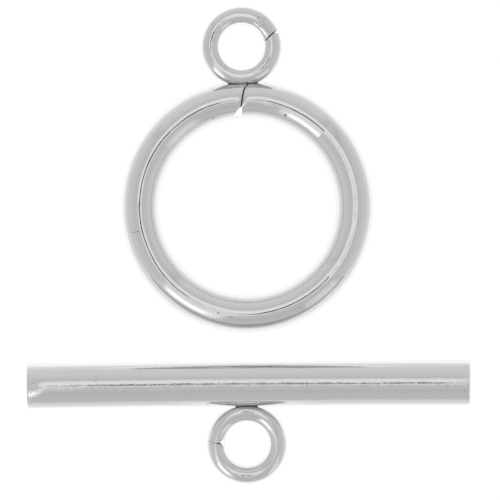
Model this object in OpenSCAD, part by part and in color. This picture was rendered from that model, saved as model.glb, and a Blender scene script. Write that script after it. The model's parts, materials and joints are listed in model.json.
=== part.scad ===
// Toggle clasp in two loose halves, lying on a flat surface as they were put down. One half is a ring of
// round wire with a small loop welded to its outside. The other is a straight round bar with a like loop
// welded to the middle of one side. The bar has rolled over until the far edge of its loop touches down.
// X runs along the bar, Y from the bar towards the ring and Z up from the surface. The origin is on the
// surface, under the bar's middle in X and halfway between the far edges of the two loops in Y.

/* [Ring] */
// Outside diameter of the ring
ring_od = 15.6; // [12:0.1:24]
// Thickness of the ring's wire
ring_wire = 2.05; // [1.4:0.05:2.8]
// Gap between the two cut ends of the ring's wire
ring_gap = 0.1; // [0.05:0.01:0.25]
// Slant of the ring's cut off the radius, in degrees
ring_cut_slant = 18; // [0:1:30]
// Depth of the notch that the ring's cut leaves at the inner edge
ring_notch = 0.34; // [0.1:0.02:0.6]
// Lean of the ring's loop to the left of straight up, in degrees
ring_lean = 2; // [-10:0.5:10]

/* [Loops] */
// Outside diameter of each loop
loop_od = 4.95; // [4:0.05:8]
// Thickness of each loop's wire
loop_wire = 1; // [0.6:0.05:1.4]
// Gap between the two cut ends of each loop's wire
loop_gap = 0.06; // [0.03:0.01:0.15]
// Depth of the notches that a loop's cut leaves at its inner and outer edges
loop_notch = 0.1; // [0.04:0.01:0.2]
// Where the cut is on the ring's loop, in degrees round from its right side
ring_loop_cut = 17; // [-50:1:230]
// Slant of that cut off the radius, in degrees
ring_loop_slant = 24; // [0:1:40]
// Where the cut is on the bar's loop, in degrees round from its right side
bar_loop_cut = 180; // [130:1:410]

/* [Bar] */
// Length of the bar
bar_len = 27.9; // [18:0.1:40]
// Thickness of the bar
bar_d = 2.7; // [1.6:0.1:4]
// Rounding of the edge at the bar's left end
bar_edge = 0.15; // [0.05:0.01:0.4]
// Slant of the bar's right end, in degrees
bar_end_slant = 3.3; // [0:0.1:10]
// Distance of the bar's loop to the left of the bar's middle
bar_loop_shift = 0.14; // [-1:0.01:1]

/* [Welds] */
// Depth that the ring's loop sinks into the ring
ring_sink = 0.2; // [0.06:0.01:0.3]
// Depth that the bar's loop sinks into the bar
bar_sink = 0.04; // [0.04:0.01:0.3]
// Distance that the weld metal stays inside the faces of a loop's wire
weld_inset = 0.05; // [0.02:0.01:0.15]

/* [As laid down] */
// Clear distance between the ring and the bar
halves_gap = 2.05; // [1:0.05:8]
// Distance of the ring's centre to the left of the bar's middle
ring_shift = 0.09; // [-4:0.01:4]
// Turn of the bar on the surface, in degrees
bar_turn = 0.6; // [-10:0.01:10]

/* [Hidden] */
$fn = 96;
steel = [0.78, 0.78, 0.79];

bar_r = bar_d / 2;
loop_mid = (loop_od - loop_wire) / 2;
weld_d = loop_wire - 2 * weld_inset;

// Distance from the ring's centre, and from the bar's axis, to the centre of the loop
ring_reach = ring_od / 2 + loop_od / 2 - ring_sink;
bar_reach = bar_r + loop_od / 2 - bar_sink;

// Angle that the bar rolls through until its loop touches the surface
bar_roll = asin((bar_r - loop_wire / 2) / (bar_reach + loop_mid));

// Places in Y, counted from the bar's axis
ring_y = bar_r + halves_gap + ring_od / 2;
top_y = ring_y + ring_reach * cos(ring_lean) + loop_od / 2;
low_y = -(bar_reach + loop_mid) * cos(bar_roll) - loop_wire / 2;
middle_y = (top_y + low_y) / 2;

// Wedge cut into the edge of a wire that lies to the left, half as wide as it is deep on each side
module edge_notch(wire, depth) {
    far = wire / 2 + depth;
    linear_extrude(height = 2 * wire, center = true)
        polygon([[depth - wire / 2, 0], [-wire, far / 2], [-wire, -far / 2]]);
}

// Round wire bent into a ring, cut through at an angle round from its right side
module cut_ring(od, wire, gap, at, slant, notch, notch_outside) {
    difference() {
        rotate_extrude()
            translate([(od - wire) / 2, 0])
                circle(d = wire);
        rotate(at)
            translate([(od - wire) / 2, 0, 0])
                rotate(slant) {
                    cube([2 * wire, gap, 2 * wire], center = true);
                    edge_notch(wire, notch);
                    if (notch_outside)
                        mirror([1, 0, 0])
                            edge_notch(wire, notch);
                }
    }
}

// Loop at the end of its reach along Y, with the plug of weld metal that joins it to what is below
module welded_loop(reach, cut_at, slant) {
    translate([0, reach, 0])
        cut_ring(loop_od, loop_wire, loop_gap, cut_at, slant, loop_notch, true);
    translate([0, reach - loop_mid - loop_wire, 0])
        rotate([-90, 0, 0])
            cylinder(d = weld_d, h = loop_wire);
}

// Ring lying flat, with its loop on the far side and its cut behind the weld
module toggle_ring() {
    color(steel)
        translate([-ring_shift, ring_y - middle_y, ring_wire / 2])
            rotate(ring_lean)
                union() {
                    cut_ring(ring_od, ring_wire, ring_gap, 90, -ring_cut_slant, ring_notch, false);
                    welded_loop(ring_reach, ring_loop_cut, ring_loop_slant);
                }
}

// Half outline of the bar: square at the right end and rounded at the left end, which is at the top
module bar_outline() {
    translate([bar_r - bar_edge, bar_len - bar_edge])
        circle(r = bar_edge);
    square([bar_r - bar_edge, bar_len]);
    translate([0, -bar_d])
        square([bar_r, bar_len - bar_edge + bar_d]);
}

// Straight bar along X with its middle at the origin and its right end cut off at a slant
module round_bar() {
    difference() {
        translate([bar_len / 2, 0, 0])
            rotate([0, -90, 0])
                rotate_extrude()
                    bar_outline();
        translate([bar_len / 2, 0, 0])
            rotate(-bar_end_slant)
                translate([0, -2 * bar_d, -2 * bar_d])
                    cube([2 * bar_d, 4 * bar_d, 4 * bar_d]);
    }
}

// Bar on the surface, with its loop on the near side
module toggle_bar() {
    color(steel)
        translate([0, -middle_y, bar_r])
            rotate(bar_turn)
                rotate([bar_roll, 0, 0])
                    union() {
                        round_bar();
                        translate([-bar_loop_shift, 0, 0])
                            rotate(180)
                                welded_loop(bar_reach, bar_loop_cut - 180, 0);
                    }
}

toggle_ring();
toggle_bar();
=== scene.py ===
"""Toggle clasp of polished steel, lying as it was put down on a white surface in a small light tent.

A ring and a bar, each with a small loop welded to it. Lengths are in metres. Whatever isn't worked out from
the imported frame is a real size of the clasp."""

import json
import math

import bpy
import numpy as np
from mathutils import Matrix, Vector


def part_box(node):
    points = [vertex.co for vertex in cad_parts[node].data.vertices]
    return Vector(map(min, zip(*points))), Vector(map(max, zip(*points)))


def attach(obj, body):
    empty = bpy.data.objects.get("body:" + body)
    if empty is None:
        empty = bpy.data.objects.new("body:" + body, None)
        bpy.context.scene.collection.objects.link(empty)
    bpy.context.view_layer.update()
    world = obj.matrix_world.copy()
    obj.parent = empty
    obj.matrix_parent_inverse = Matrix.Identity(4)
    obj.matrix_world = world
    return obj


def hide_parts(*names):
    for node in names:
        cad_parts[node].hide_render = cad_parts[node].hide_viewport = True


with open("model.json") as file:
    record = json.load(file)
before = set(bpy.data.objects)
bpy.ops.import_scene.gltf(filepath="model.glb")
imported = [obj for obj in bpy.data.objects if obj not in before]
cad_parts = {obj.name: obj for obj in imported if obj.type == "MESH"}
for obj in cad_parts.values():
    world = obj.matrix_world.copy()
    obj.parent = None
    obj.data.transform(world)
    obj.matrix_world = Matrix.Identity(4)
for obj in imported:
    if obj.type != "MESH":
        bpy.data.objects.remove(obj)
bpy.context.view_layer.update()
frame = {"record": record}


# The ring: one length of round steel wire, bent until its two cut ends all but meet. It was cut with pliers,
# which left the ends slanted and pinched at the inner edge.
MM = 0.001
MOUNTS = {mount["name"]: mount for mount in frame["record"]["mounts"]}
low, high = (np.array(corner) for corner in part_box("toggle_ring"))
UP = np.array([0.0, 0.0, 1.0])
# Radii of the wire and of the line that it is bent to, and how much wire the ring takes
RING_WIRE = (high[2] - low[2]) / 2
RING_BEND = (high[0] - low[0]) / 2 - RING_WIRE
RING_MIDDLE = np.array([(low[0] + high[0]) / 2, low[1] + RING_BEND + RING_WIRE, RING_WIRE])
RING_LENGTH = 2 * math.pi * RING_BEND
RING_EDGE = 0.05 * MM
# Line of the cut, how far either face stands back from it, and the notch that the pliers left in each end
RING_ASIDE = 0.035 * MM
RING_SLANT = math.radians(-11)
RING_HOOK = -0.36 * MM
HOOK_END = 0.85
RING_LEAN = 0.036
RING_HALF_SLIT = 0.037 * MM
RING_LEFT_NOTCH = (-1, 0.6 * MM, 0.37 * MM)
RING_RIGHT_NOTCH = (-1, 0.6 * MM, 0.06 * MM)
# Softness of a kink in a wire, and how many rows of points a skin has over an end face and round its edge
KINK_SOFT = 0.1 * MM
FLAT_ROWS = 10
EDGE_ROWS = 6


def cut_faces(bend, radius, line, half_slit, notches):
    """The two end faces of a bent wire, each as its place along the wire at (out, up) in its section.

    line is (aside, slant, hook, lean). The cut goes off the radius by aside + out·tan(slant) + hook·x⁵ +
    up·lean, where x is out/radius kept between 0 and HOOK_END. Either face stands back from it by half_slit.
    A notch (side, depth, flare) draws a face further back by flare·x, where x runs from 0 to 1 over the
    notch's depth. Its side is 1 outside and -1 inside. notches lists those of the first and of the last end.
    """
    aside, slant, hook, lean = line

    def face(back, end_notches):
        def place(out, up):
            hooked = hook * np.clip(out / radius, 0, HOOK_END) ** 5
            across = aside + out * math.tan(slant) + hooked + up * lean + back
            for side, depth, flare in end_notches:
                share = np.clip((side * out - radius + depth) / depth, 0, 1)
                across = across + math.copysign(flare, back) * share
            return bend * np.arctan2(across, bend + out)
        return place

    return face(half_slit, notches[0]), face(-half_slit, notches[1])


def wire_skin(radius, edge, first_face, last_face, body, around):
    """Skin of a wire laid straight, as arrays (along, out, up) with one row for each ring of points.

    A row lies at the distance rho from the wire's middle, so out = rho·cos(a) and up = rho·sin(a). Over an
    end face rho grows evenly from a tenth of radius - edge to the whole. Round the edge it is radius - edge +
    edge·sin(t), while the skin draws back by edge·(1 - cos(t)). The faces give their place along the wire at
    (out, up). Between them the body's rows go on evenly, and the shape of a face dies away over a tenth of
    the length.
    """
    flat = (radius - edge) * np.linspace(0.1, 1, FLAT_ROWS)
    turn = np.linspace(0, math.pi / 2, EDGE_ROWS + 1)[1:]
    rho = np.concatenate([flat, radius - edge + edge * np.sin(turn), np.full(body, radius)])
    back = np.concatenate([np.zeros(FLAT_ROWS), edge * (1 - np.cos(turn)), np.full(body, edge)])
    rho = np.concatenate([rho, rho[:-body][::-1]])[:, None]
    back = np.concatenate([back, back[:-body][::-1]])[:, None]
    ends = FLAT_ROWS + EDGE_ROWS
    share = np.concatenate([np.zeros(ends), np.arange(1, body + 1) / (body + 1), np.ones(ends)])[:, None]
    angle = np.linspace(0, 2 * math.pi, around, endpoint=False)
    out = rho * np.cos(angle)
    up = rho * np.sin(angle)
    first = first_face(out, up) + back
    last = last_face(out, up) - back
    first_middle = first_face(0.0, 0.0) + edge
    last_middle = last_face(0.0, 0.0) - edge
    along = first_middle + (last_middle - first_middle) * share
    along = along + (first - first_middle) * np.clip(1 - share * 10, 0, 1) ** 2
    along = along + (last - last_middle) * np.clip(1 - (1 - share) * 10, 0, 1) ** 2
    return along, out, up


def closed_shell(name, skin, place):
    """Mesh of the skin's rows, each joined to the next, with a fan from a tip in the middle of each end row.

    Point k of row j is number j·n + k, where n is the number of points in a row. place turns (along, out, up)
    into points of the scene. The skin itself is kept as the attribute "straight", which a pattern can follow
    along the wire. The faces of the first and last FLAT_ROWS rows take the material of a cut.
    """
    rows, around = skin[0].shape
    tips = [[part[0].mean() for part in skin], [part[-1].mean() for part in skin]]
    straight = np.vstack([np.stack(skin, axis=-1).reshape(-1, 3), tips])
    j, k = np.meshgrid(np.arange(rows - 1), np.arange(around), indexing="ij")
    here = (j * around + k).ravel()
    beside = (j * around + (k + 1) % around).ravel()
    quads = np.stack([here, here + around, beside + around, beside], axis=1)
    first = np.arange(around)
    second = (first + 1) % around
    end = (rows - 1) * around
    start_fan = np.stack([np.full(around, rows * around), first, second], axis=1)
    end_fan = np.stack([np.full(around, rows * around + 1), end + second, end + first], axis=1)
    mesh = bpy.data.meshes.new(name)
    points = place(*straight.T)
    mesh.from_pydata(points.tolist(), [], quads.tolist() + start_fan.tolist() + end_fan.tolist())
    mesh.shade_smooth()
    faces = (FLAT_ROWS - 1) * around
    cut = np.zeros(len(mesh.polygons), np.int32)
    cut[:faces] = 1
    cut[len(quads) - faces :] = 1
    mesh.polygons.foreach_set("material_index", cut)
    mesh.attributes.new("straight", "FLOAT_VECTOR", "POINT").data.foreach_set("vector", straight.ravel())
    piece = bpy.data.objects.new(name, mesh)
    bpy.context.scene.collection.objects.link(piece)
    return piece


def bent_wire(name, seat, size, cut, faces, grid, kink=0.0, fall=0.0):
    """Wire bent round a middle. seat is (middle, right, ahead), size is (bend, radius, edge), and grid is how
    many rows the body has and how many points a row has.

    A point (along, out, up) goes to the angle cut + along/bend, at bend + out from the middle and up from the
    wire's plane, whose axes are right and ahead. Before the kink the first end falls away by
    fall·(d + √(d² + s²))/2, where d is the way back from the kink and s is KINK_SOFT.
    """
    middle, right, ahead = seat
    bend, radius, edge = size
    once_round = 2 * math.pi * bend

    def place(along, out, up):
        angle = (cut + along / bend)[:, None]
        spoke = np.cos(angle) * right + np.sin(angle) * ahead
        before = kink - along
        fallen = up - fall * (before + np.sqrt(before**2 + KINK_SOFT**2)) / 2
        return middle + (bend + out)[:, None] * spoke + fallen[:, None] * np.cross(right, ahead)

    skin = wire_skin(radius, edge, faces[0], lambda out, up: once_round + faces[1](out, up), *grid)
    return closed_shell(name, skin, place)


class Signal:
    """A socket of a node tree. Arithmetic on it adds Math nodes, also where the number stands first."""

    def __init__(self, tree, socket=None):
        self.tree = tree
        self.socket = socket

    def node(self, kind, settings, sockets, output=0):
        """One node of any kind: its settings first, then a value or a link for each socket named."""
        made = self.tree.nodes.new(kind)
        for name, value in settings.items():
            if name == "stops":
                ramp = made.color_ramp
                while len(ramp.elements) < len(value):
                    ramp.elements.new(1)
                for stop, (place, grey) in zip(ramp.elements, value):
                    stop.position = place
                    stop.color = (grey, grey, grey, 1)
            else:
                setattr(made, name, value)
        for name, value in sockets.items():
            if isinstance(value, Signal):
                self.tree.links.new(value.socket, made.inputs[name])
            else:
                made.inputs[name].default_value = value
        return Signal(self.tree, made.outputs[output] if made.outputs else None)

    def math(self, operation, *values):
        """One Math node on numbers or signals."""
        return self.node("ShaderNodeMath", {"operation": operation}, dict(enumerate(values)))

    def __add__(self, other):
        return self.math("ADD", self, other)

    def __sub__(self, other):
        return self.math("SUBTRACT", self, other)

    def __rsub__(self, other):
        return self.math("SUBTRACT", other, self)

    def __mul__(self, other):
        return self.math("MULTIPLY", self, other)

    def __abs__(self):
        return self.math("ABSOLUTE", self)

    __radd__ = __add__
    __rmul__ = __mul__

    def vector(self, operation, other=None, output=0):
        """Vector arithmetic with another vector, or on this one alone."""
        sockets = {0: self} if other is None else {0: self, 1: other}
        return self.node("ShaderNodeVectorMath", {"operation": operation}, sockets, output)

    def part(self, axis):
        """X, Y or Z of a vector."""
        return self.node("ShaderNodeSeparateXYZ", {}, {0: self}, axis)

    def grey(self):
        """The colour that has the signal for its red, green and blue."""
        return self.node("ShaderNodeCombineColor", {}, {0: self, 1: self, 2: self})

    def rise(self, begin, end, low=0.0, high=1.0):
        """Goes smoothly from low to high while the signal goes from begin to end."""
        ends = {"From Min": begin, "From Max": end, "To Min": low, "To Max": high}
        return self.node("ShaderNodeMapRange", {"interpolation_type": "SMOOTHSTEP"}, {"Value": self} | ends)

    def window(self, half, soft):
        """1 where the signal is nearer to 0 than half, fading smoothly to 0 over soft either side of half."""
        return abs(self).rise(half - soft, half + soft, 1.0, 0.0)


def bare_tree(owner):
    """Empties the node tree of a material or world, and gives the signal that its expressions start from."""
    owner.use_nodes = True
    owner.node_tree.nodes.clear()
    return Signal(owner.node_tree)


# Length and width of the patterns in every polished skin, and the heights of those that aren't only shine
SWELL = (1.6 * MM, 0.9 * MM)
SWELL_HEIGHT = 0.006 * MM
CLOUDS = (2.2 * MM, 1.1 * MM)
SPECKS = (0.12 * MM, 0.09 * MM)
SCUFFS = (0.1 * MM, 0.1 * MM)
SCUFF_HEIGHT = 0.003 * MM
NICK_DEPTH = 0.012 * MM


def polished_steel(name, grain, roll=None, nicks=(), worn=None, bent=None, gloss=0.11, brightness=0.6):
    """Steel drawn into wire and tumbled bright.

    grain is the length, width and height of the fine lines along the wire that break up a reflection. A slow
    swell comes from bending and tumbling, and the shine is a little duller in cloudy patches and fine specks.
    roll gives, from (along, out), a further height that tips the wire's top. A nick is (along, out, up, half
    length, half width), a small dark pit in the skin. worn gives, from (along, out), how scuffed the skin is,
    from 0 to 1. bent is the radius of a wire whose bend kept the tumbling from its inner side.
    """
    steel = bpy.data.materials.new(name)
    start = bare_tree(steel)
    straight = start.node("ShaderNodeAttribute", {"attribute_name": "straight"}, {}, "Vector")
    along = straight.part("X")
    out = straight.part("Y")

    def noise(long, wide, detail=1.0):
        """Noise that is long along the wire and wide round it, from -1 to 1."""
        spread = straight.vector("MULTIPLY", (1 / long, 1 / wide, 1 / wide))
        cloud = start.node("ShaderNodeTexNoise", {}, {"Vector": spread, "Scale": 1.0, "Detail": detail})
        return cloud * 2 - 1

    grain_long, grain_wide, grain_height = grain
    height = noise(grain_long, grain_wide) * grain_height + noise(*SWELL) * SWELL_HEIGHT
    clouds = noise(*CLOUDS, 3.0)
    specks = noise(*SPECKS)
    shine = gloss + 0.03 * clouds + 0.05 * specks
    colour = brightness * (1 + 0.02 * specks)
    if roll:
        height = height + roll(along, out)
    if nicks:
        pits = 0.0
        for nick_along, nick_out, nick_up, half_long, half_wide in nicks:
            apart = straight.vector("SUBTRACT", (nick_along, nick_out, nick_up))
            apart = apart.vector("MULTIPLY", (1 / half_long, 1 / half_wide, 1 / half_wide))
            pits = apart.vector("LENGTH", output="Value").window(0.7, 0.4) + pits
        height = height - pits * NICK_DEPTH
        shine = shine + 0.3 * pits
        colour = colour * (1 - 0.6 * pits)
    if bent:
        shine = shine + 0.12 * out.rise(-0.8 * bent, -0.5 * bent, 1.0, 0.0)
    if worn:
        wear = worn(along, out)
        scuffs = noise(*SCUFFS) * wear
        shine = shine + 0.08 * wear
        height = height + scuffs * SCUFF_HEIGHT
        colour = colour * (1 + 0.25 * scuffs)
    normal = start.node("ShaderNodeBump", {}, {"Height": height, "Strength": 1.0, "Distance": 1.0})
    sockets = {"Base Color": colour.grey(), "Metallic": 1.0, "Roughness": shine, "Normal": normal}
    shader = start.node("ShaderNodeBsdfPrincipled", {}, sockets)
    start.node("ShaderNodeOutputMaterial", {}, {"Surface": shader})
    return steel


# Size of the tears in a cut, and how bright and how much shinier its faces are where it stands open, out of
# the painted shade of a closed slit
TEAR = 0.12 * MM
OPEN_BRIGHT = 0.8
OPEN_SHINE = 0.2


def cut_steel(name, dark, light, roughness, depth, opened=None):
    """The torn faces that a cutter leaves: the same steel, but rougher and duller, from dark to light in the
    tears and as deep as they are. A closed cut gets darker faces than a free end: painted shade in the slit.
    Where out falls from the first to the second value of opened, a notch opens the cut and its faces turn
    bright, free of that painted shade."""
    steel = bpy.data.materials.new(name)
    start = bare_tree(steel)
    place = start.node("ShaderNodeTexCoord", {}, {}, "Object")
    tears = start.node("ShaderNodeTexNoise", {}, {"Vector": place, "Scale": 1 / TEAR, "Detail": 3.0})
    tone = tears.rise(0.2, 0.8, dark, light)
    if opened:
        straight = start.node("ShaderNodeAttribute", {"attribute_name": "straight"}, {}, "Vector")
        bright = straight.part("Y").rise(*opened)
        tone = tone + bright * (OPEN_BRIGHT - tone)
        roughness = roughness - OPEN_SHINE * bright
    normal = start.node("ShaderNodeBump", {}, {"Height": tears * depth, "Strength": 1.0, "Distance": 1.0})
    sockets = {"Base Color": tone.grey(), "Metallic": 0.9, "Roughness": roughness, "Normal": normal}
    shader = start.node("ShaderNodeBsdfPrincipled", {}, sockets)
    start.node("ShaderNodeOutputMaterial", {}, {"Surface": shader})
    return steel


def ready(piece, material, face, node):
    """Gives a finished piece its material and that of its cut faces, hangs it under the root body and hides
    the CAD part it stands for.
    """
    piece.data.materials.append(material)
    piece.data.materials.append(face)
    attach(piece, "root")
    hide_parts(node)


def top_nick(radius, along, out, half_long, half_wide):
    """A nick on a wire's upper side, where up = √(radius² - out²). The last three values are millimetres."""
    up = math.sqrt(radius**2 - (out * MM) ** 2)
    return (along, out * MM, up, half_long * MM, half_wide * MM)


ring_loop_middle = np.array(MOUNTS["ring_loop"]["pos_m"])
ring_ahead = ring_loop_middle - RING_MIDDLE
RING_REACH = np.linalg.norm(ring_ahead)
ring_ahead = ring_ahead / RING_REACH
ring_right = np.cross(ring_ahead, UP)
ring_seat = (RING_MIDDLE, ring_right, ring_ahead)
ring_line = (RING_ASIDE, RING_SLANT, RING_HOOK, RING_LEAN)
ring_notches = ([RING_LEFT_NOTCH], [RING_RIGHT_NOTCH])
ring_faces = cut_faces(RING_BEND, RING_WIRE, ring_line, RING_HALF_SLIT, ring_notches)
ring_size = (RING_BEND, RING_WIRE, RING_EDGE)
ring_wire = bent_wire("ring_wire", ring_seat, ring_size, math.pi / 2, ring_faces, (720, 96))

# Small dents and a scratch: the turn of each round the ring from its right side in degrees, and in
# millimetres its place across the wire, half length and half width
RING_NICKS = [
    (67.2, -0.57, 0.10, 0.16),
    (111.0, -0.85, 0.20, 0.03),
    (192.8, 0.25, 0.05, 0.07),
    (192.8, 0.45, 0.03, 0.30),
    (202.9, 0.95, 0.06, 0.05),
    (254.8, 0.15, 0.10, 0.05),
    (261.6, 0.23, 0.22, 0.03),
    (263.0, -0.81, 0.16, 0.03),
    (297.7, 0.42, 0.07, 0.05),
    (359.3, -0.91, 0.05, 0.04),
]


def along_ring(turn):
    """Length of wire from the ring's cut to a turn in degrees, counted from the ring's right side."""
    return (math.radians(turn) - math.atan2(ring_ahead[1], ring_ahead[0])) % (2 * math.pi) * RING_BEND


def ring_roll(along, out):
    """The ring isn't quite flat: counterclockwise, its top rises below and comes down again over the whole
    right side, and drops at the cut, where the pliers also crushed it. The section leans inwards at the top
    and lower right, and outwards at the right, and is steeper outside at the bottom."""
    descent = along.math("MINIMUM", along.math("MAXIMUM", along, 26.9 * MM), 36.9 * MM) * -0.037
    from_cut = RING_LENGTH / 2 - abs(along - RING_LENGTH / 2)
    rises = along.rise(15.8 * MM, 22.6 * MM, 0.0, 0.19 * MM)
    rises = rises + from_cut.rise(-1.5 * MM, 2 * MM, -0.1 * MM, 0.0)
    inward = from_cut.rise(4 * MM, 7 * MM, 0.027, 0.0) + from_cut.rise(0.0, 1.1 * MM, 0.06, 0.0)
    inward = inward + 0.025 * (along - 24.8 * MM).window(2.4 * MM, MM)
    outward = 0.035 * (along - 31.9 * MM).window(4.7 * MM, 1.5 * MM)
    past_cut = along - along.math("GREATER_THAN", along, RING_LENGTH / 2) * RING_LENGTH
    from_slit = abs(past_cut - RING_ASIDE - out * math.tan(RING_SLANT))
    crushed = from_slit.rise(-0.1 * MM, 0.3 * MM, -0.04 * MM, 0.0) * out.rise(-0.6 * MM, -0.1 * MM, 0.4, 1.0)
    steeper = out.rise(0.6 * MM, 0.98 * MM, 0.0, -0.03 * MM) * (along - 21 * MM).window(6 * MM, 1.2 * MM)
    return rises + descent + steeper + crushed + out * (outward - inward)


def ring_worn(along, out):
    """The ring is scuffed outside at the bottom and lower right, and inside on either side of its cut."""
    outside = (along - 25.8 * MM).window(1.1 * MM, 0.2 * MM) + (along - 18.9 * MM).window(0.5 * MM, 0.3 * MM)
    inside = (along - 4.5 * MM).window(1.6 * MM, 0.4 * MM) + (along - 39.7 * MM).window(0.4 * MM, 0.2 * MM)
    return outside * out.rise(0.2 * MM, 0.4 * MM) + inside * out.rise(-0.4 * MM, -0.2 * MM, 0.7, 0.0)


ring_nicks = [top_nick(RING_WIRE, along_ring(turn), *across) for turn, *across in RING_NICKS]
ring_grain = (0.6 * MM, 0.14 * MM, 0.0012 * MM)
ring_steel = polished_steel("ring_steel", ring_grain, ring_roll, ring_nicks, ring_worn, RING_WIRE)
# The ring's cut faces are dark as painted shade in its slit, and bright where the notch opens it.
shaded_ring_cut = cut_steel("shaded_ring_cut", 0.12, 0.36, 0.5, 0.02 * MM, (-0.42 * MM, -0.62 * MM))
ready(ring_wire, ring_steel, shaded_ring_cut, "toggle_ring")


# The ring's loop: thinner wire of the same steel, bent closed the same way, with its cut to the right. The
# pliers kinked one end of it down. It is welded to the ring's outside, over the ring's own cut.
LOOP_WIRE = 0.5 * MM
LOOP_HOLE = MOUNTS["ring_loop"]["dims"]["r_mm"] * MM
LOOP_BEND = LOOP_HOLE + LOOP_WIRE
LOOP_SIZE = (LOOP_BEND, LOOP_WIRE, 0.016 * MM)
LOOP_GRID = (360, 80)
LOOP_GRAIN = (0.3 * MM, 0.12 * MM, 0.002 * MM)
LOOP_GLOSS = 0.08
RING_LOOP_CUT = math.radians(17)
# Its cut as (aside, slant, hook, lean), how far either face stands back, and the notches of the two ends
RING_LOOP_LINE = (0.013 * MM, math.radians(24), 0.0, 0.12)
RING_LOOP_HALF_SLIT = 0.042 * MM
RING_LOOP_NOTCHES = ([(1, 0.25 * MM, 0.05 * MM)], [(1, 0.25 * MM, 0.17 * MM)])
RING_LOOP_KINK = 1.15 * MM
RING_LOOP_FALL = 0.1
# How steeply it stands off the level, and the turn where it is highest
RING_LOOP_RISE = math.tan(math.radians(3.5))
RING_LOOP_HIGH = math.radians(145)


def ring_loop_roll(along, out):
    """Bending flattened the wire's top and leans it inwards, and the loop is welded on a little out of level,
    with its upper left side the highest. Its last end rises to the cut."""
    turn = along * (1 / LOOP_BEND) + (RING_LOOP_CUT - RING_LOOP_HIGH)
    flat = out * out * (0.17 / LOOP_WIRE)
    last_end = along.rise(10.3 * MM, 12.8 * MM, 0.0, 0.06 * MM)
    return flat + last_end + out * -0.08 + (out + LOOP_BEND) * (turn.math("COSINE", turn) * RING_LOOP_RISE)


def ring_loop_worn(along, out):
    """The pliers scuffed the wire where it kinks."""
    return (along - 1.3 * MM).window(0.25 * MM, 0.1 * MM)


# Marks of the pliers at the kink, as a nick is described
KINK_NICKS = [
    (1.22 * MM, -0.02 * MM, 0.5 * MM, 0.05 * MM, 0.06 * MM),
    (1.40 * MM, 0.10 * MM, 0.49 * MM, 0.04 * MM, 0.12 * MM),
    (1.30 * MM, -0.22 * MM, 0.45 * MM, 0.04 * MM, 0.08 * MM),
]
ring_loop_seat = (ring_loop_middle, ring_right, ring_ahead)
ring_loop_faces = cut_faces(LOOP_BEND, LOOP_WIRE, RING_LOOP_LINE, RING_LOOP_HALF_SLIT, RING_LOOP_NOTCHES)
ring_loop = bent_wire(
    "ring_loop",
    ring_loop_seat,
    LOOP_SIZE,
    RING_LOOP_CUT,
    ring_loop_faces,
    LOOP_GRID,
    RING_LOOP_KINK,
    RING_LOOP_FALL,
)
ring_loop_steel = polished_steel(
    "ring_loop_steel", LOOP_GRAIN, ring_loop_roll, KINK_NICKS, ring_loop_worn, LOOP_WIRE, LOOP_GLOSS
)
# Dark faces: painted shade inside the loops' closed slits.
shaded_closed_cut = cut_steel("shaded_closed_cut", 0.05, 0.2, 0.5, 0.02 * MM)
ready(ring_loop, ring_loop_steel, shaded_closed_cut, "toggle_ring")


# The bar: a straight round rod, sheared to length. The shear pulled its left end down on top and cut the
# right end a little out of square. It isn't quite straight.
low, high = (np.array(corner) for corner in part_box("toggle_bar"))
BAR_RADIUS = high[2] / 2
bar_loop_middle = np.array(MOUNTS["bar_loop"]["pos_m"])
bar_loop_axis = np.array(MOUNTS["bar_loop"]["axis"])
BAR_TURN = math.atan2(bar_loop_axis[0], -bar_loop_axis[1])
BAR_LENGTH = 2 * (-low[0] - BAR_RADIUS * math.sin(BAR_TURN))
BAR_EDGE = 0.07 * MM
# How far the left face stands back, and how deep its near corner is rubbed off
BAR_LEFT_BACK = 0.025 * MM
BAR_CORNER = 0.12 * MM
# How far the right face stands back, and the lip on it: its height, where it ends and how softly
BAR_RIGHT_BACK = 0.08 * MM
BAR_LIP = 0.145 * MM
BAR_LIP_END = -0.34 * MM
BAR_LIP_SOFT = 0.04 * MM
# Bow of the rod, droop of its left end, and how far it is off square to its loop
BAR_BOW = 0.06 * MM
BAR_DROOP = 0.2 * MM
BAR_DROOP_LENGTH = 1.6 * MM
ROD_SWING = math.radians(-0.14)
bar_right = np.array([math.cos(BAR_TURN), math.sin(BAR_TURN), 0.0])
bar_out = np.cross(bar_right, bar_loop_axis)
BAR_REACH = (BAR_RADIUS - bar_loop_middle[2]) / -bar_out[2]
bar_weld_middle = bar_loop_middle - BAR_REACH * bar_out
bar_middle = bar_weld_middle - bar_right * (bar_weld_middle[0] / bar_right[0])
bar_side = np.cross(bar_right, UP)


def bar_place(along, out, up):
    """A point (along, out, up) of the rod, which isn't quite square to its loop. It is bowed by
    bow·(1 - 12·x²)/3 with x = along/length. On top it droops at its left end by droop·(1 - s/l)³, where s is
    the way in and l is the length of the droop, and less and less further down."""
    bow = BAR_BOW * (1 - 12 * (along / BAR_LENGTH) ** 2) / 3
    inward = np.clip(1 - (along + BAR_LENGTH / 2) / BAR_DROOP_LENGTH, 0, 1)
    droop = BAR_DROOP * inward**3 * np.clip(0.5 + 1.25 * up / BAR_RADIUS, 0, 1)
    aside = out - bow - along * math.tan(ROD_SWING)
    return bar_middle + along[:, None] * bar_right + aside[:, None] * bar_side + (up - droop)[:, None] * UP


def bar_left_face(out, up):
    """Square face whose near corner is rubbed off by corner·x², with x going from 0 to 1 over the last
    quarter of the radius."""
    rubbed = BAR_CORNER * np.clip(4 * out / BAR_RADIUS - 3, 0, 1) ** 2
    return rubbed + BAR_LEFT_BACK - BAR_LENGTH / 2


def bar_right_face(out, up):
    """The shear left a lip on the far side, which leans out downwards by lip·(1 - up/radius)/2."""
    far = (1 - np.tanh((out - BAR_LIP_END) / BAR_LIP_SOFT)) / 2
    return BAR_LENGTH / 2 - BAR_RIGHT_BACK + BAR_LIP * far * (1 - up / BAR_RADIUS) / 2


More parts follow.
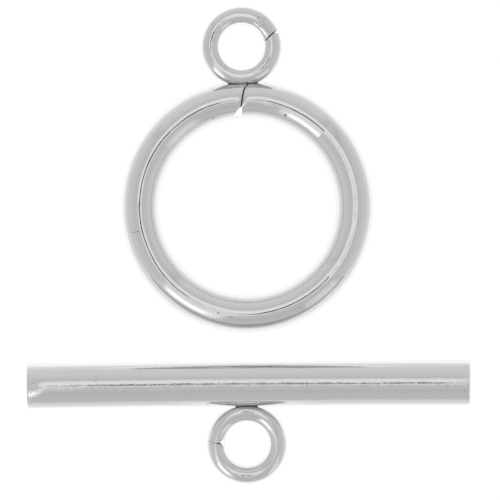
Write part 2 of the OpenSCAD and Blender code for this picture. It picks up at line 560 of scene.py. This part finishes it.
def bar_roll(along, out):
    """The rod lies with its section leaning a little to the far side, where it is slightly flattened. It
    tapers a touch towards both ends."""
    left = along.rise(-14 * MM, -9.8 * MM, -0.075 * MM, 0.0)
    right = along.rise(11.8 * MM, 14.2 * MM, 0.0, -0.05 * MM)
    return left + right + out * -0.033 + out.rise(-1.25 * MM, -0.8 * MM, 0.018 * MM, 0.0)


def bar_worn(along, out):
    """The shear scuffed the rod at both ends, and handling marked all of its top."""
    right = (along - 13.75 * MM).window(0.25 * MM, 0.15 * MM)
    left = (along + 13.6 * MM).window(0.35 * MM, 0.15 * MM)
    return right + left + 0.5 * out.window(0.45 * MM, 0.1 * MM)


# Specks on the rod, in millimetres: the place of each along and across, half length and half width
BAR_NICKS = [
    (-9.57, -0.31, 0.05, 0.05),
    (-5.73, 1.16, 0.05, 0.04),
    (-13.66, 0.38, 0.03, 0.05),
    (-13.5, 0.5, 0.04, 0.04),
]
bar_skin = wire_skin(BAR_RADIUS, BAR_EDGE, bar_left_face, bar_right_face, 560, 128)
bar_rod = closed_shell("bar_rod", bar_skin, bar_place)
bar_nicks = [top_nick(BAR_RADIUS, along * MM, *across) for along, *across in BAR_NICKS]
bar_grain = (0.11 * MM, 0.1 * MM, 0.0028 * MM)
bar_steel = polished_steel("bar_steel", bar_grain, bar_roll, bar_nicks, bar_worn, gloss=0.09)
free_cut = cut_steel("free_cut", 0.36, 0.56, 0.3, 0.006 * MM)
ready(bar_rod, bar_steel, free_cut, "toggle_bar")


# The bar's loop: the same loop again, welded to the middle of the rod's near side, with its cut to the left.
# Both ends of its wire were pinched inside, so the cut closes outside and gapes within.
BAR_LOOP_LINE = (-0.19 * MM, math.radians(-11), 0.0, 0.06)
BAR_LOOP_HALF_SLIT = 0.004 * MM
BAR_LOOP_NOTCHES = [(-1, 0.6 * MM, 0.07 * MM), (-1, 0.22 * MM, 0.26 * MM)]


def bar_loop_roll(along, out):
    """This loop's wire is flattened on top as well, and levels out at the lower left and upper right. Its
    section leans inwards to the left and right, and outwards near the rod and opposite it."""
    lean = along.math("COSINE", along * (2 / LOOP_BEND)) * -0.105
    level = along.rise(0.5 * MM, 3 * MM, 0.0, 0.045 * MM) + along.rise(6.7 * MM, 9.2 * MM, 0.0, -0.045 * MM)
    return level + out * (lean + out * (0.12 / LOOP_WIRE))


bar_loop_notches = (BAR_LOOP_NOTCHES, BAR_LOOP_NOTCHES)
bar_loop_faces = cut_faces(LOOP_BEND, LOOP_WIRE, BAR_LOOP_LINE, BAR_LOOP_HALF_SLIT, bar_loop_notches)
bar_loop_seat = (bar_loop_middle, bar_right, -bar_out)
bar_loop = bent_wire("bar_loop", bar_loop_seat, LOOP_SIZE, math.pi, bar_loop_faces, LOOP_GRID)
bar_loop_steel = polished_steel("bar_loop_steel", LOOP_GRAIN, bar_loop_roll, bent=LOOP_WIRE, gloss=LOOP_GLOSS)
ready(bar_loop, bar_loop_steel, shaded_closed_cut, "toggle_bar")


# The two welds: a loop is pressed on and fused by a short burst of current, which leaves a thin hollow collar
# of rougher metal in the crevice all round the place where they meet. The collar's near-black colour is
# painted shade in that crevice.
RING_WELD_THICK = 0.06 * MM
BAR_WELD_THICK = 0.07 * MM
WELD_WAIST = 0.4
WELD_BURIED = 0.12 * MM
WELD_AROUND = 96
SIDE_ROWS = 9
HALVINGS = 40


def weld_skin(under, reach, thick):
    """Collar between what is under the loop and the loop's wire, as arrays (along, out, up) about the weld's
    axis. In each direction round that axis, its outer rim is where the two skins stand a thickness apart,
    found by halving the way between the axis and the wire's side. The collar's side goes from one skin to the
    other on a hollow arc of depth waist·thick, and its ends are buried in the metal above and below."""
    angle = np.linspace(0, 2 * math.pi, WELD_AROUND, endpoint=False)

    def over(out, up):
        """Underside of the loop: reach - √(s² - out²), where s is bend + √(wire² - up²)."""
        section = LOOP_BEND + np.sqrt(np.clip(LOOP_WIRE**2 - up**2, 0, None))
        return reach - np.sqrt(np.clip(section**2 - out**2, 0, None))

    near = np.zeros(WELD_AROUND)
    far = np.full(WELD_AROUND, 0.999 * LOOP_WIRE) / np.maximum(np.abs(np.sin(angle)), 0.3)
    for _ in range(HALVINGS):
        rim = (near + far) / 2
        out = rim * np.cos(angle)
        up = rim * np.sin(angle)
        apart = over(out, up) - under(out, up)
        near = np.where(apart < thick, rim, near)
        far = np.where(apart < thick, far, rim)
    step = np.linspace(0, 1, SIDE_ROWS)[:, None]
    below = under(rim * np.cos(angle), rim * np.sin(angle))
    above = over(rim * np.cos(angle), rim * np.sin(angle))
    hollow = rim - WELD_WAIST * thick * np.sin(math.pi * step)
    along = below + (above - below) * step
    hub = np.linspace(0.1, 0.8, FLAT_ROWS)[:, None]
    lower = np.broadcast_to(below - WELD_BURIED, (FLAT_ROWS, WELD_AROUND))
    upper = np.broadcast_to(above + WELD_BURIED, (FLAT_ROWS, WELD_AROUND))
    along = np.vstack([lower, along, upper])
    wide = np.vstack([rim * hub, hollow, rim * hub[::-1]])
    return along, wide * np.cos(angle), wide * np.sin(angle)


def ring_under(out, up):
    """Outside of the ring: √(s² - out²), where s is bend + √(wire² - up²)."""
    section = RING_BEND + np.sqrt(np.clip(RING_WIRE**2 - up**2, 0, None))
    return np.sqrt(np.clip(section**2 - out**2, 0, None))


def bar_under(out, up):
    """Near side of the rod: √(radius² - up²)."""
    return np.sqrt(np.clip(BAR_RADIUS**2 - up**2, 0, None))


def weld_place(middle, right, ahead):
    """A point (along, out, up) goes that far ahead, right and up from the middle of what carries the loop."""
    def place(along, out, up):
        flat = along[:, None] * ahead + out[:, None] * right
        return middle + flat + up[:, None] * np.cross(right, ahead)
    return place


# Near-black: painted shade in the crevice.
weld_shade_steel = polished_steel("weld_shade_steel", LOOP_GRAIN, gloss=0.4, brightness=0.13)
ring_weld_skin = weld_skin(ring_under, RING_REACH, RING_WELD_THICK)
ring_weld = closed_shell("ring_weld", ring_weld_skin, weld_place(*ring_seat))
ready(ring_weld, weld_shade_steel, shaded_closed_cut, "toggle_ring")
bar_weld_skin = weld_skin(bar_under, BAR_REACH, BAR_WELD_THICK)
bar_weld = closed_shell("bar_weld", bar_weld_skin, weld_place(bar_weld_middle, -bar_right, bar_out))
ready(bar_weld, weld_shade_steel, shaded_closed_cut, "toggle_bar")


# The surface: white, and glowing by itself so brightly that it shows no shadow from above. Its glow is
# painted light: a painted pool of light brightest close to the steel, a painted shadow as a slightly darker
# line along the steel's outline, and painted shade that dims it a little towards the near side.
FLOOR_HALF = 3.0
floor_mesh = bpy.data.meshes.new("floor")
corners = [(-FLOOR_HALF, -FLOOR_HALF, 0), (FLOOR_HALF, -FLOOR_HALF, 0), (FLOOR_HALF, FLOOR_HALF, 0)]
floor_mesh.from_pydata(corners + [(-FLOOR_HALF, FLOOR_HALF, 0)], [], [(0, 1, 2, 3)])
floor = bpy.data.objects.new("floor", floor_mesh)
bpy.context.scene.collection.objects.link(floor)
white = bpy.data.materials.new("white_surface")
start = bare_tree(white)
place = start.node("ShaderNodeTexCoord", {}, {}, "Object")
floor_x = place.part("X")
floor_y = place.part("Y")


def length(one, other):
    """√(one² + other²)."""
    return start.math("SQRT", one * one + other * other)


def off_wire(middle, bend, wire):
    """Distance on the floor from the outline of a bent wire."""
    return abs(length(floor_x - middle[0], floor_y - middle[1]) - bend) - wire


rod_turn = BAR_TURN + ROD_SWING
bar_x = floor_x - bar_middle[0]
bar_y = floor_y - bar_middle[1]
past_end = start.math("MAXIMUM", abs(bar_x) - BAR_LENGTH / 2, 0.0)
past_side = abs(bar_y * math.cos(rod_turn) - bar_x * math.sin(rod_turn)) - BAR_RADIUS
off_bar = length(past_end, start.math("MAXIMUM", past_side, 0.0))
off_ring = off_wire(RING_MIDDLE, RING_BEND, RING_WIRE)
off_loops = off_wire(ring_loop_middle, LOOP_BEND, LOOP_WIRE)
off_loops = start.math("MINIMUM", off_loops, off_wire(bar_loop_middle, LOOP_BEND, LOOP_WIRE))
off_steel = start.math("MINIMUM", off_ring, off_loops) * (1 / RING_WIRE)
off_steel = start.math("MINIMUM", off_steel, off_bar * (1 / BAR_RADIUS)) + 1
contact = start.math("MINIMUM", off_ring, start.math("MINIMUM", off_loops, off_bar) * 2)
# Distance from the middle of the nearest wire or rod in its radii, and how bright the surface's painted glow
# is there
FAR_OFF = 20.0
PAINTED_GLOW = [
    (0, 1.2),
    (1.4, 1.2),
    (1.7, 1.15),
    (2.07, 1.11),
    (2.6, 1.06),
    (3.5, 0.98),
    (5.1, 0.93),
    (13, 0.91),
    (20, 0.84),
]
painted_glow_stops = [(off / FAR_OFF, painted_glow_strength) for off, painted_glow_strength in PAINTED_GLOW]
painted_glow_strength = start.node("ShaderNodeValToRGB", {"stops": painted_glow_stops}, {0: off_steel * (1 / FAR_OFF)})
# Painted shade: the glow dims towards the near side.
painted_glow_strength = painted_glow_strength * floor_y.rise(-36 * MM, -16.2 * MM, 0.8, 1.0)
# Painted shadow: the glow is darker in a thin band just outside the steel's outline, and full under the
# steel.
outside = contact.rise(0.08 * MM, 0.43 * MM, 0.7, 1.0)
painted_glow_strength = painted_glow_strength * start.math("MAXIMUM", outside, contact.rise(-0.06 * MM, 0.0, 1.0, 0.0))
painted_glow = start.node("ShaderNodeEmission", {}, {"Color": painted_glow_strength.grey(), "Strength": 1.0})
paper = start.node("ShaderNodeBsdfDiffuse", {}, {"Color": (0.12, 0.12, 0.12, 1)})
both = start.node("ShaderNodeAddShader", {}, {0: paper, 1: painted_glow})
start.node("ShaderNodeOutputMaterial", {}, {"Surface": both})
floor_mesh.materials.append(white)


# The light: a small tent of white cloth with a bright panel overhead and two soft boxes in front. The camera
# looks straight down through a hole in the panel, and its lens shows as a dark spot overhead.
tent = bpy.data.worlds.new("light_tent")
bpy.context.scene.world = tent
start = bare_tree(tent)
direction = start.node("ShaderNodeTexCoord", {}, {}, "Generated")
east = direction.part("X")
north = direction.part("Y")
DEGREE = math.pi / 180
tilt = start.math("ARCCOSINE", direction.part("Z")) * (1 / DEGREE)


def bearing(degrees):
    """Angle round from a wall's or a lamp's bearing, from -180 to 180 degrees."""
    c = math.cos(degrees * DEGREE)
    s = math.sin(degrees * DEGREE)
    return start.math("ARCTAN2", north * c - east * s, east * c + north * s) * (1 / DEGREE)


# Tilt from overhead as a share of 90 degrees, and how bright the cloth is there
CLOTH = [
    (0, 0.9),
    (0.2, 0.81),
    (0.3, 0.825),
    (0.42, 0.795),
    (0.55, 0.84),
    (0.7, 0.88),
    (0.89, 0.9),
    (1, 0.93),
]
cloth = start.node("ShaderNodeValToRGB", {"stops": CLOTH}, {0: tilt * (1 / 90)})
low_down = 1 - tilt.window(28, 12)
back_wall = bearing(93).window(47, 4) * low_down
front_wall = bearing(275).window(50, 8) * low_down * (0.075 + 0.0007 * tilt)
corner_seams = 0.14 * bearing(46).window(4, 2.5) + 0.1 * bearing(140).window(3.3, 2)
corner_seams = corner_seams * tilt.rise(24, 34) + 0.1 * bearing(299.5).window(1, 0.8) * tilt.rise(36, 42)
wall_light = cloth * (1 + 0.06 * back_wall - front_wall - corner_seams)
# Half width of the panel, and how far it hangs to the north, both as seen from the clasp
PANEL_HALF = math.sin(16.3 * DEGREE)
PANEL_NORTH = math.sin(7.2 * DEGREE)
panel_east = east * (1 / PANEL_HALF)
panel_north = (north - PANEL_NORTH) * (1 / PANEL_HALF)
panel_spread = start.math("SQRT", panel_east * panel_east + panel_north * panel_north)
panel = panel_spread.window(1, 0.35)
panel_frame = (panel_spread - 1.4).window(0.12, 0.12)
lens = tilt.window(4.2, 0.8)
left_column = bearing(237).window(14, 2) * tilt.rise(10, 15) * tilt.rise(30, 76, 0.35, 0.08)
left_core = bearing(236).window(10.7, 3.3) * (tilt - 50).window(12.5, 7)
right_box = bearing(311).window(10.5, 1) * tilt.rise(33, 39) * tilt.rise(42, 82, 0.26, 0.32)
light = wall_light + 0.36 * panel - 0.12 * panel_frame + left_column + 0.88 * left_core + right_box
light = light * (1 - 0.97 * lens)
background = start.node("ShaderNodeBackground", {}, {"Color": light.grey(), "Strength": 1.0})
start.node("ShaderNodeOutputWorld", {}, {"Surface": background})


# The camera: it looks straight down from well above the clasp. The picture's width is counted at a height
# within the steel, so that its outlines have their size in the picture.
CAMERA_OVER = (0.085 * MM, -0.304 * MM)
CAMERA_HEIGHT = 0.4
PICTURE_WIDTH = 31.45 * MM
MID_HEIGHT = 1.2 * MM
camera_data = bpy.data.cameras.new("camera")
camera_data.lens = camera_data.sensor_width * CAMERA_HEIGHT / PICTURE_WIDTH
camera_data.clip_start = 0.01
camera = bpy.data.objects.new("camera", camera_data)
camera.location = (*CAMERA_OVER, MID_HEIGHT + CAMERA_HEIGHT)
bpy.context.scene.collection.objects.link(camera)
bpy.context.scene.camera = camera
bpy.context.scene.view_settings.view_transform = "Standard"
